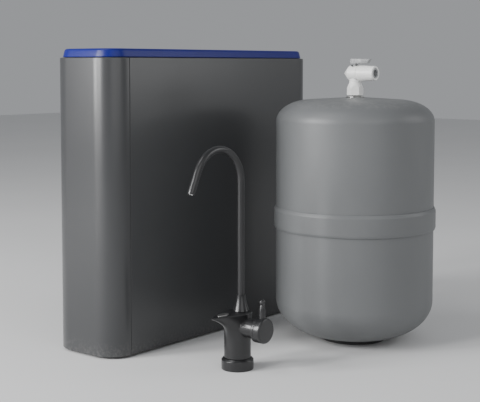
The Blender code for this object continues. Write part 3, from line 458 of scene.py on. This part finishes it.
def rubber():
    """Black rubber with a bloom of fine pale dust in its pores."""
    finish = Finish("rubber")
    pores, bloom = finish.noise(0.0005, 3.0), finish.noise(0.01, 4.0)
    colour = finish.mixed((0.018, 0.018, 0.018), (0.045, 0.044, 0.042), bloom)
    return finish.set(Base_Color=colour, Roughness=0.7 + 0.2 * pores, Normal=finish.bump(pores, 0.00008))


def carbon():
    """A pressed block of carbon grains."""
    finish = Finish("carbon_block")
    grains, cloud = finish.cells(0.0012), finish.noise(0.01)
    colour = finish.mixed((0.012, 0.012, 0.012), (0.05, 0.05, 0.05), grains * 0.6 + cloud * 0.4)
    return finish.set(Base_Color=colour, Roughness=0.75 + 0.2 * cloud, Normal=finish.bump(grains, 0.0004))


def filter_media():
    """Off-white wound fibre: level, wavering strands, with painted shade darkening the valleys between
    them.
    """
    finish = Finish("filter_media")
    phase = finish.axis("Z") * 2400 + 6 * finish.noise(0.02)
    strands = phase.math("SINE", phase) * 0.5 + 0.5
    # painted shade: the colour darkens in the strands' valleys, where the bump sinks; the small noise adds
    # random tone
    colour = finish.mixed((0.55, 0.53, 0.47), (0.83, 0.81, 0.75), strands * 0.7 + finish.noise(0.003) * 0.3)
    roughness = 0.8 + 0.1 * finish.noise(0.002)
    return finish.set(Base_Color=colour, Roughness=roughness, Normal=finish.bump(strands, 0.0005))


WHITE_DARK, WHITE_LIGHT = (0.76, 0.76, 0.745), (0.86, 0.86, 0.845)
GREY_DARK, GREY_LIGHT = (0.29, 0.295, 0.30), (0.37, 0.375, 0.38)
BLACK_DARK, BLACK_LIGHT = (0.014, 0.014, 0.015), (0.026, 0.026, 0.027)

FINISHES = {
    "charcoal_cover": charcoal_cover(),
    "blue_lid": blue_lid(),
    "grey_enamel": grey_enamel(),
    "white_moulding": moulding("white_moulding", WHITE_DARK, WHITE_LIGHT, 0.3, coat=0.15),
    "grey_moulding": moulding("grey_moulding", GREY_DARK, GREY_LIGHT, 0.35),
    "black_moulding": moulding("black_moulding", BLACK_DARK, BLACK_LIGHT, 0.45, 0.0012, 0.00008),
    "steel": steel(),
    "black_finish": black_finish(),
    "rubber": rubber(),
    "carbon_block": carbon(),
    "filter_media": filter_media(),
}
SLOT_OF = {entry["node"]: entry["material_slot"] for entry in frame["record"]["subparts"]}
BODY_OF = {node: body for body, nodes in frame["record"]["behaviour"]["bodies"].items() for node in nodes}


def finished(piece, node):
    """The piece stands for the node, rides on its body and takes its finish."""
    slot = SLOT_OF[node]
    piece.data.materials.clear()
    piece.data.materials.append(FINISHES[slot].material)
    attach(piece, BODY_OF[node])
    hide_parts(node)


def carried_over():
    """Every node that no piece stands for keeps its shape and gets its slot's finish."""
    for node, obj in frame["nodes"].items():
        obj.data.materials.clear()
        obj.data.materials.append(FINISHES[SLOT_OF[node]].material)


# ------------------------------------------------------------------ cabinet


def wall(name, path, normals, node):
    """The cabinet's skin, with rounded top and bottom edges."""
    edges = [(0, COVER_BOTTOM), (0, COVER_TOP), (WALL, COVER_TOP), (WALL, COVER_BOTTOM)]
    profile = rounded(edges, [0.8, 1.1, 0.4, 0.4])
    finished(carried(name, profile, path, normals, ease=EASE), node)


def ledge(name, path, normals, node):
    """The rim inside the wall that the lid stands on, with a slope under it."""
    under, top = COVER_TOP - 2.5, COVER_TOP + 0.3
    edges = [(WALL - 0.1, COVER_TOP - 5), (WALL - 0.1, COVER_TOP), (2, top), (7, top), (7, under)]
    finished(carried(name, rounded(edges, 0.2, 3), path, normals), node)


def front_cover():
    """The front and its two round corners, with a tongue on each side that slides in the housing."""
    path, normals = cabinet_outline(["front_left", "front_right"])
    first, last = [(-HALF_WIDTH, SEAM_Y)], [(HALF_WIDTH, SEAM_Y)]
    path[0, 1] = path[-1, 1] = SEAM_Y - EASE
    path = np.concatenate([first, path, last])
    normals = np.concatenate([normals[:1], normals, normals[-1:]])
    wall("cover_front", path, normals, "front_cover")
    ledge("cover_front_ledge", path[2:-2], normals[2:-2], "front_cover")
    for side, name in ((1, "right"), (-1, "left")):
        out, deep = HALF_WIDTH - WALL - 0.4, HALF_WIDTH - WALL - 2.4
        root, tip = SEAM_Y - 2, SEAM_Y + TONGUE_REACH
        outline = rounded([(out, root), (out, tip), (deep, tip), (deep, root)], [0.2, 0.8, 0.8, 0.2])
        outlines = np.repeat(outline[None], 2, axis=0) * [side, 1]
        heights = [COVER_BOTTOM + 0.3, COVER_TOP - 6]
        tongue = lofted(f"cover_front_tongue_{name}", outlines, heights, CABINET)
        finished(tongue, "front_cover")


def rear_housing():
    """The two sides and the back in one, with the foot lip and the lid's ledge inside it."""
    start = SEAM_Y + SEAM_GAP
    right = [(HALF_WIDTH, start), (HALF_WIDTH, start + EASE)]
    left = [(-HALF_WIDTH, start + EASE), (-HALF_WIDTH, start)]
    corners = ["back_right", "back_left"]
    wall("cover_rear", *cabinet_outline(corners, lead=(right, left)), "rear_housing")
    inside = ([(HALF_WIDTH, LEDGE_START)], [(-HALF_WIDTH, LEDGE_START)])
    path, normals = cabinet_outline(corners, lead=inside)
    ledge("cover_rear_ledge", path, normals, "rear_housing")
    low, high = COVER_BOTTOM + 0.3, COVER_BOTTOM + 2.5
    lip = [(WALL - 0.1, low), (WALL - 0.1, high), (8, high), (8, low)]
    finished(carried("cover_rear_lip", rounded(lip, 0.2, 3), path, normals), "rear_housing")


def lid():
    """A cap with leaning sides, a soft shoulder and a sunk top panel, and a skirt that plugs in below."""
    top, foot = LID_HIGH[2], LID_LOW[2]
    base = COVER_TOP + 0.65
    profile = [
        (17, top - 4.5), (13, COVER_TOP + 5), (9.8, COVER_TOP), (9.8, foot), (7.4, foot), (7.4, base),
        (4.2, base), (7.2, top - 0.05), (17.2, top - 0.05), (18.6, top - 1.2), (24, top - 1.2),
    ]
    radii = [0, 2, 1, 0.6, 0.6, 0.2, 0.8, 4.2, 0.7, 0.7, 0]
    path, normals = cabinet_outline(["front_right", "back_right", "back_left", "front_left"])
    finished(carried("lid_cap", rounded(profile, radii, 8), path, normals, closed=True), "lid")


def port(name):
    """A bulkhead fitting: neck through the wall, ribbed flange and barrel, and its push-fit collet."""
    node = f"{name}_port"
    low, high = (np.array(corner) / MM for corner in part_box(node))
    back = REAR_HIGH[1]
    place = np.array([(low[0] + high[0]) / 2, back, (low[2] + high[2]) / 2]) * MM
    inner, mouth = low[1] - back, high[1] - back
    edges = [
        (3, inner), (7.4, inner), (7.4, 0.3), (9.6, 0.3), (9.6, 4.8), (8.3, 5.8), (8.3, mouth - 3),
        (8.6, mouth - 2.4), (8.6, mouth), (6.6, mouth), (6.6, mouth - 7), (4.9, mouth - 7),
        (4.9, -6), (3, -6),
    ]
    radii = [0.2, 0.5, 0.1, 0.5, 0.5, 0.6, 0.2, 0.2, 0.5, 0.3, 0.1, 0.1, 0.1, 0.1]

    def ribbed(radius, height, angle):
        on_flange = (radius > 9.0) & (height < 5.2)
        return radius - 0.35 * on_flange * (np.cos(12 * angle) > 0.75)

    finished(lathe(f"{name}_fitting", rounded(edges, radii, 4), place, "Y", 96, ribbed), node)
    place[1] += mouth * MM
    finished(lathe(f"{name}_collet", collet_profile(), place, "Y", 64), f"{name}_port_collet")


def collet_profile(flange=7.6):
    """The release collar's section: a sleeve, and a flange that stands proud of the fitting's mouth."""
    edges = [(4.9, -5.5), (6.2, -5.5), (6.2, 1.2), (flange, 1.2), (flange, 2.5), (4.9, 2.5)]
    return rounded(edges, [0.2, 0.2, 0.2, 0.5, 0.5, 0.6], 5)


# ------------------------------------------------------------------ cartridges


def cartridge(name):
    """A filter: lower cap with a neck and lugs, a plain barrel with two bands, a domed top and its grip."""
    node = f"{name}_cartridge"
    full = CARTRIDGE_RADIUS
    groove = full - 0.7
    place = on_floor(f"{name}_o_ring")
    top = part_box(node)[1][2] / MM - 13
    edges = [
        (5, 36), (14, 36), (14, 60), (40, 61), (full, 67), (full, 96), (groove, 97), (groove, 99),
        (full, 100), (full, top - 26), (groove, top - 25), (groove, top - 23), (full, top - 22),
        (full, top - 9), (37, top), (0, top),
        (0, top - 2.6), (36, top - 2.6), (42.4, top - 11), (42.4, 68), (38, 63.6), (5, 62.6),
    ]
    radii = [0.5, 0.8, 1.5, 4, 4, 0.3, 0.3, 0.3, 0.3, 0.3, 0.3, 0.3, 0.3, 7, 4, 0, 0, 3, 3, 2, 2, 0.5]

    def fluted(radius, height, angle):
        on_cap = (radius > 44.5) & (height > 70) & (height < 96)
        return radius - 0.5 * on_cap * (0.5 + 0.5 * np.cos(48 * angle))

    shell = lathe(f"{name}_shell", rounded(edges, radii, 5), place, sides=192, radius_at=fluted)
    grip = rounded([(-29, -6), (29, -6), (29, 6), (-29, 6)], 5.8, 8)
    heights = np.array([top - 1.5, top + 11.5, top + 12.6, top + 13])
    squeeze = np.array([0, 0, 0.5, 1.4])[:, None, None]
    outlines = grip[None] * (1 - squeeze / np.array([29, 6]))
    grip = lofted(f"{name}_grip_bar", outlines, heights, place)
    lugs = rounded([(-5, -22.5), (5, -22.5), (5, 22.5), (-5, 22.5)], 1, 4)
    lugs = lofted(f"{name}_lug_bar", np.repeat(lugs[None], 2, axis=0), [50.8, 53.8], place)
    finished(merged(f"{name}_filter", shell, grip, lugs), node)


# ------------------------------------------------------------------ tank


def tank():
    """The two pressed halves, each a wall and an elliptical end, and the rolled belt over their seam."""
    low, high = (np.array(corner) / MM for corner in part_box("tank_upper_shell"))
    radius, top = (high[0] - low[0]) / 2, high[2]
    inside = radius - SHEET
    seam = (BELT_LOW[2] + BELT_HIGH[2]) / 2
    hub = (radius - SHOULDER_WIDE, top - SHOULDER_HIGH - 3)
    shoulder = ellipse(hub, (SHOULDER_WIDE, SHOULDER_HIGH), 0, 90, 40)
    crown = [(44, top - 1.6), (24, top - 0.4), (9.3, top), (9.3, top - SHEET)]
    lining = [(60, top - 4.8), (radius - 12, top - 16), (inside, top - 40), (inside, seam + 0.3)]
    upper = np.concatenate([[(radius, seam + 0.3)], shoulder, crown, lining])
    finished(lathe("tank_top_half", upper, TANK, sides=160, sharp=40), "tank_upper_shell")
    dome = ellipse((FOOT_RADIUS, 60), (radius - FOOT_RADIUS, 54), -90, 0, 48)
    lining = [(inside, seam), (inside, 60), (radius - 24, 22), (44, 7.7), (0, 7.7)]
    lower = np.concatenate([[(0, 6)], dome, [(radius, seam)], lining])
    finished(lathe("tank_bottom_half", lower, TANK, sides=160, sharp=40), "tank_lower_shell")
    low, high, stand = BELT_LOW[2], BELT_HIGH[2], radius + 3
    belt = [
        (radius + 0.3, low), (stand - 0.9, low), (stand, low + 3.2),
        (stand, high - 5), (stand - 1.9, high - 0.7), (radius + 0.3, high),
    ]
    belt = rounded(belt, [0.1, 0.7, 1.5, 2.4, 1.0, 0.1], 8)
    finished(lathe("tank_seam_belt", belt, TANK, sides=160), "tank_belt")
    foot = [(FOOT_RADIUS, 0), (FOOT_RADIUS + 7, 0), (FOOT_RADIUS + 7, 5.6), (FOOT_RADIUS, 5.6)]
    finished(lathe("tank_foot", rounded(foot, 0.8), TANK, sides=96), "tank_foot_ring")


def tank_stem():
    """A flange with a fillet, and above it a threaded stem. The thread's radius swings with the height
    less the angle, so that its ridge climbs one pitch in each turn."""
    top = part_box("tank_upper_shell")[1][2] / MM
    pitch, depth = 1.8, 0.55
    ends = [(3.5, top - 8), (8.8, top - 8), (8.8, top + 0.3)]
    flange = [(12.9, top + 0.3), (12.9, top + 1.5), (8.5, top + 2.6)]
    thread = np.stack([np.full(90, 6.0), np.linspace(top + 2.7, top + 15, 90)], axis=-1)

    def threaded(radius, height, angle):
        on_thread = (radius > 5.9) & (radius < 6.1)
        ridge = 0.5 + 0.5 * np.cos(FULL_TURN * height / pitch - angle)
        return radius - on_thread * depth * ridge

    profile = np.concatenate([ends, flange, thread, [(3.5, top + 15)]])
    finished(lathe("tank_stem_thread", profile, TANK, sides=64, radius_at=threaded), "tank_stem")


def air_valve_cap():
    """The air valve's knurled dust cap."""
    place = middle("air_valve")
    place[1] = TANK[1]
    low = (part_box("air_valve_cap")[0][1] - TANK[1]) / MM
    cap = [(4.3, low), (6.4, low), (6.4, low + 13), (0, low + 13), (0, low + 9), (4.3, low + 9)]

    def knurled(radius, height, angle):
        on_grip = (radius > 6) & (height > low + 1) & (height < low + 11.5)
        return radius - 0.3 * on_grip * (0.5 + 0.5 * np.cos(24 * angle))

    profile = rounded(cap, [0.2, 0.5, 1.4, 0, 0, 0.2], 6)
    finished(lathe("air_cap", profile, place, "Y", 144, knurled), "air_valve_cap")


def hexagon(across, chamfer_low, chamfer_high, slope):
    """A radius that follows a hexagon's flats, cut back by a cone towards each end, so that every corner
    ends in a curved chamfer. The flat is the apothem over the cosine of the angle from its middle."""

    def radius_at(radius, height, angle):
        turn = (angle + math.pi / 6) % (math.pi / 3) - math.pi / 6
        flats = across / np.cos(turn)
        past = np.maximum(0, np.maximum(chamfer_low - height, height - chamfer_high))
        cone = across * CORNER_TO_FLAT - slope * past
        return np.where(radius > across * 0.9, np.minimum(flats, cone), radius)

    return radius_at


def tank_valve():
    """A white ball valve: a hexagonal nut with long shoulders, a waist, a ball chamber with a cone behind
    it, a slimmer port ahead, and a turret."""
    axis_z = middle("tank_valve_collet")[2] / MM
    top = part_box("tank_upper_shell")[1][2] / MM
    low, high = top + 3.4, top + 21.5
    heights = np.linspace(low, high - 0.4, 24)
    flats = np.stack([np.full(24, VALVE_RADIUS), heights], axis=-1)
    bore = [(0, top + 12), (6.4, top + 12), (6.4, low)]
    nut = np.concatenate([bore, flats, [(8.8, high), (0, high)]])
    six_sided = hexagon(10.3, low + 1.2, high - 8, 0.4)
    nut = lathe("valve_nut", nut, TANK, sides=192, radius_at=six_sided, sharp=25)
    waist = rounded([(0, high - 2), (8.7, high - 2), (8.3, axis_z), (0, axis_z)], 0)
    waist = lathe("valve_waist", waist, TANK, sides=64)
    reach = (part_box("tank_valve_body")[1][0] - TANK[0]) / MM
    place = TANK + np.array([0, 0, axis_z * MM])
    edges = [
        (0, -17.4), (2.2, -17.2), (10.9, -8.2), (VALVE_RADIUS, -7), (VALVE_RADIUS, 6.4), (10.8, 7),
        (10.8, 8), (11.8, 9), (10.6, reach - 6), (10.4, reach), (7.4, reach),
        (7.4, reach - MOUTH_DEPTH), (6.6, reach - MOUTH_DEPTH),
        (6.6, 25), (4.9, 25), (4.9, 16), (0, 16),
    ]
    radii = [0, 1.2, 0.8, 0.8, 0.6, 0.3, 0.3, 0.6, 2, 1.2, 0.4, 0.2, 0.2, 0, 0, 0, 0]
    barrel = lathe("valve_barrel", rounded(edges, radii, 7), place, "X", 128)
    high = axis_z + 13.4
    turret = [(0, axis_z), (TURRET_RADIUS, axis_z), (TURRET_RADIUS, high), (0, high)]
    turret = lathe("valve_turret", rounded(turret, [0, 0, 0.5, 0]), TANK, sides=64)
    finished(merged("valve_body", nut, waist, barrel, turret, sharp=28), "tank_valve_body")
    place = place + np.array([(reach - MOUTH_DEPTH) * MM, 0, 0])
    finished(lathe("valve_collet", collet_profile(7), place, "X", 64), "tank_valve_collet")


def tank_valve_lever():
    """A round hub with a spindle under it, and a tapered paddle whose end leans back under its top edge."""
    high_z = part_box("tank_valve_lever")[1][2] / MM
    low_z = middle("tank_valve_collet")[2] / MM + 13.7
    front = (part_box("tank_valve_lever")[1][0] - TANK[0]) / MM
    hub = rounded([(0, low_z), (7.8, low_z), (7.8, high_z), (0, high_z)], [0, 0.5, 0.9, 0], 6)
    hub = lathe("lever_hub", hub, TANK, sides=96)
    outline = [(0, -7.2), (13, -7.2), (front, -2.9), (front, 2.9), (13, 7.2), (0, 7.2)]
    outline = rounded(outline, [0, 6, 1.6, 1.6, 6, 0], 10)
    heights = np.array([low_z + 0.5, low_z + 0.8, low_z + 1.3, high_z - 1.3, high_z - 0.7, high_z - 0.4])
    edge = np.array([0.8, 0.2, 0, 0, 0.25, 0.9])[:, None, None]
    shrink = 1 - edge / np.array([front, 7])
    outlines = outline[None] * shrink
    lean = 6 * (1 - (heights - low_z) / (high_z - low_z))[:, None]
    outlines[:, :, 0] -= lean * np.clip((outlines[:, :, 0] - front + 8) / 8, 0, 1)
    paddle = lofted("lever_paddle", outlines, heights, TANK)
    tip = front - 4
    recess = rounded([(-3, -4.2), (12, -4.2), (tip, -1.6), (tip, 1.6), (12, 4.2), (-3, 4.2)], 1.4, 8)
    recess = lofted("lever_recess", np.repeat(recess[None], 2, axis=0), [high_z - 1.1, high_z + 2], TANK)
    spindle = [(0, low_z - 4.9), (3.1, low_z - 4.9), (3.1, low_z + 1), (0, low_z + 1)]
    spindle = lathe("lever_spindle", spindle, TANK, sides=32)
    lever = merged("lever_and_spindle", hub, paddle, spindle)
    finished(merged("valve_lever", lever, recess, operation="DIFFERENCE"), "tank_valve_lever")


# ------------------------------------------------------------------ faucet


def faucet_outlines(heights, deck, reach):
    """The casting's level outlines. Behind they are a half circle. In front the reach grows with the height
    as a power curve, and is shared out by a power of the sine, so that it draws to a rounded tip."""
    angles = np.linspace(0, FULL_TURN, 96, endpoint=False)
    rise = np.clip((heights - COLUMN_TOP) / (deck - 2 - COLUMN_TOP), 0, 1)[:, None]
    forward = np.maximum(0, -np.sin(angles))[None, :]
    back = COLUMN_RADIUS + 2.3 * rise ** 2
    front = COLUMN_RADIUS + (reach - COLUMN_RADIUS) * rise ** 3.2
    length = back + (front - back) * forward ** 3.2
    tip = 8 + 9.8 * (1 - rise)
    width = (COLUMN_RADIUS + 0.9 * rise) * (1 - (1 - tip / 18) * forward ** 2 * 0.55)
    return np.stack([width * np.cos(angles), length * np.sin(angles)], axis=-1)


def faucet_body():
    """The casting with its round foot, its lip under a level deck, and the boss for the side valve."""
    low, high = (np.array(corner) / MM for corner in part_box("faucet_body"))
    deck = high[2]
    reach = FAUCET[1] / MM - low[1]
    flare = np.linspace(COLUMN_TOP, deck - 1.2, 30)
    heights = np.concatenate([[16, 18], flare, deck - np.array([0.5, 0.15, 0])])
    outlines = faucet_outlines(heights, deck, reach)
    outlines[-3:] *= np.array([0.992, 0.975, 0.95])[:, None, None]
    body = lofted("faucet_column", outlines, heights, FAUCET, sharp=50)
    start = (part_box("faucet_handle")[0][0] - FAUCET[0]) / MM
    place = FAUCET + np.array([0, 0, middle("valve_cartridge")[2]])
    edges = [(0, 0), (12.5, 0), (12.5, start - 1), (8, start - 1), (8, start - 6), (0, start - 6)]
    boss = lathe("faucet_boss", rounded(edges, [0, 0, 0.9, 0.3, 0, 0]), place, "X", 96)
    finished(merged("faucet_casting", body, boss, sharp=40), "faucet_body")


def faucet_trim():
    """Base ring, the cone at the spout's foot, and the oval inlay on the lip."""
    low, high = (np.array(corner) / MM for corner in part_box("faucet_base_ring"))
    radius, top = (high[0] - low[0]) / 2, high[2]
    base = [(15, 0), (radius, 0), (radius, top - 2.8), (radius - 2.4, top), (15, top)]
    base = rounded(base, [0.3, 0.8, 1.2, 1.2, 0.3])
    finished(lathe("faucet_foot", base, FAUCET, sides=128), "faucet_base_ring")
    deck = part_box("spout_collar")[0][2] / MM
    rise = np.linspace(0, 1, 36)
    bore = SPOUT_RADIUS + 0.3
    waist = bore + 0.8 + 4.9 * (1 - rise) ** 1.35
    cone = np.stack([waist, deck + 0.2 + 20.8 * rise], axis=-1)
    cone = np.concatenate([[(bore, deck)], [(10.6, deck)], cone, [(bore, deck + 21.1)]])
    finished(lathe("spout_cone", cone, SPOUT, sides=96), "spout_collar")
    angles = np.linspace(0, FULL_TURN, 64, endpoint=False)
    oval = np.stack([5.2 * np.cos(angles), 10 * np.sin(angles)], axis=-1)
    place = on_floor("lip_inlay")
    low, high = (corner[2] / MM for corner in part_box("lip_inlay"))
    outlines = oval[None] * np.array([1, 1, 0.95, 0.82])[:, None, None]
    inlay = lofted("lip_oval", outlines, [low, high - 0.5, high - 0.15, high], place)
    finished(inlay, "lip_inlay")


def faucet_spout():
    """The gooseneck: straight up, round a bend in the upright plane, and down a short straight tail."""
    low, high = (np.array(corner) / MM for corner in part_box("faucet_spout"))
    bend_low = high[2] - SPOUT_RADIUS - SPOUT_BEND
    straight = np.linspace(low[2], bend_low, 24)[:-1]
    angles = np.linspace(0, SPOUT_TURN, 72)
    down = np.linspace(0, SPOUT_TAIL, 12)[1:]
    rise = np.stack([0 * straight, 0 * straight, straight], axis=-1)
    forward, up = -SPOUT_BEND * (1 - np.cos(angles)), bend_low + SPOUT_BEND * np.sin(angles)
    arc = np.stack([0 * angles, forward, up], axis=-1)
    leg = arc[-1] + down[:, None] * np.array([0, -math.sin(SPOUT_TURN), math.cos(SPOUT_TURN)])
    path = np.concatenate([rise, arc, leg])
    lean = np.concatenate([0 * straight, angles, np.full(len(down), SPOUT_TURN)])
    across = np.stack([0 * lean, -np.cos(lean), -np.sin(lean)], axis=-1)
    outer = np.full(len(path), SPOUT_RADIUS)
    outer[-1] -= 0.5
    finished(tube("spout_tube", path, across, outer, SPOUT_BORE, SPOUT), "faucet_spout")


def faucet_handle():
    """A round hub with a grooved rim, and an upright lever with a ball at its tip."""
    low, high = (np.array(corner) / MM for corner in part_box("faucet_handle"))
    place = FAUCET + np.array([0, 0, middle("valve_cartridge")[2]])
    start, end = low[0] - FAUCET[0] / MM, high[0] - FAUCET[0] / MM
    edges = [
        (3.9, start), (16.7, start), (16.7, start + 3.6), (16.2, start + 4), (16.2, start + 4.4),
        (16.7, start + 4.8), (16.7, end), (0, end), (0, end - 4.5), (3.9, end - 4.5),
    ]
    radii = [0, 0.8, 0.2, 0.2, 0.2, 0.2, 2.6, 0, 0, 0]
    hub = lathe("handle_hub", rounded(edges, radii, 8), place, "X", 128)
    rise = high[2] - place[2] / MM
    neck = [(0, 9), (4.7, 9), (4.5, rise - 16), (3.4, rise - 9)]
    ball = ellipse((0, rise - 4.1), (4.1, 4.1), -50, 90, 18)
    lever = np.concatenate([neck, ball])
    centre = place + np.array([(start + end) / 2 * MM, 0, 0])
    lever = lathe("handle_lever", lever, centre, sides=64)
    finished(merged("faucet_lever", hub, lever, sharp=40), "faucet_handle")


# ------------------------------------------------------------------ stage, light and camera


def studio():
    """A pale floor, a pale world, and soft lights at the front left, overhead, at the right and behind."""
    mesh = bpy.data.meshes.new("floor")
    corners = [(-FLOOR_REACH, -FLOOR_REACH, 0), (FLOOR_REACH, -FLOOR_REACH, 0)]
    corners += [(FLOOR_REACH, FLOOR_REACH, 0), (-FLOOR_REACH, FLOOR_REACH, 0)]
    mesh.from_pydata(corners, [], [(0, 1, 2, 3)])
    floor = bpy.data.objects.new("floor", mesh)
    bpy.context.scene.collection.objects.link(floor)
    finish = Finish("floor_paper")
    cloud = finish.noise(0.4)
    colour = finish.mixed((0.70, 0.70, 0.70), (0.74, 0.74, 0.74), cloud)
    finish.set(Base_Color=colour, Roughness=0.7 + 0.1 * cloud)
    floor.data.materials.append(finish.material)
    world = bpy.context.scene.world or bpy.data.worlds.new("studio")
    bpy.context.scene.world = world
    world.use_nodes = True
    backdrop = world.node_tree.nodes["Background"]
    backdrop.inputs["Color"].default_value = WORLD_COLOUR
    backdrop.inputs["Strength"].default_value = WORLD_STRENGTH
    for name, (place, size, power) in LIGHTS.items():
        soft_light(name, place, size, power)


def soft_light(name, place, size, power):
    light = bpy.data.lights.new(name, "AREA")
    light.shape = "RECTANGLE"
    light.size, light.size_y = size
    light.energy = power
    lamp = bpy.data.objects.new(name, light)
    lamp.location = place
    lamp.rotation_euler = (Vector(LIGHTS_AIM) - Vector(place)).to_track_quat("-Z", "Y").to_euler()
    bpy.context.scene.collection.objects.link(lamp)


def camera():
    """A long lens, a little above the unit, looking across the cabinet's front corner."""
    lens = bpy.data.cameras.new("camera")
    lens.sensor_width = CAMERA_SENSOR
    lens.lens = CAMERA_LENS
    lens.shift_y = CAMERA_SHIFT
    eye = bpy.data.objects.new("camera", lens)
    eye.location = CAMERA_PLACE
    eye.rotation_euler = (math.radians(90 - CAMERA_DIP), 0, math.radians(CAMERA_AZIMUTH))
    bpy.context.scene.collection.objects.link(eye)
    bpy.context.scene.camera = eye


carried_over()
front_cover()
rear_housing()
lid()
for port_name in ("feed", "drain", "tank", "faucet"):
    port(port_name)
for stage_name in ("sediment", "carbon", "membrane", "polishing"):
    cartridge(stage_name)
tank()
tank_stem()
air_valve_cap()
tank_valve()
tank_valve_lever()
faucet_body()
faucet_trim()
faucet_spout()
faucet_handle()
studio()
camera()
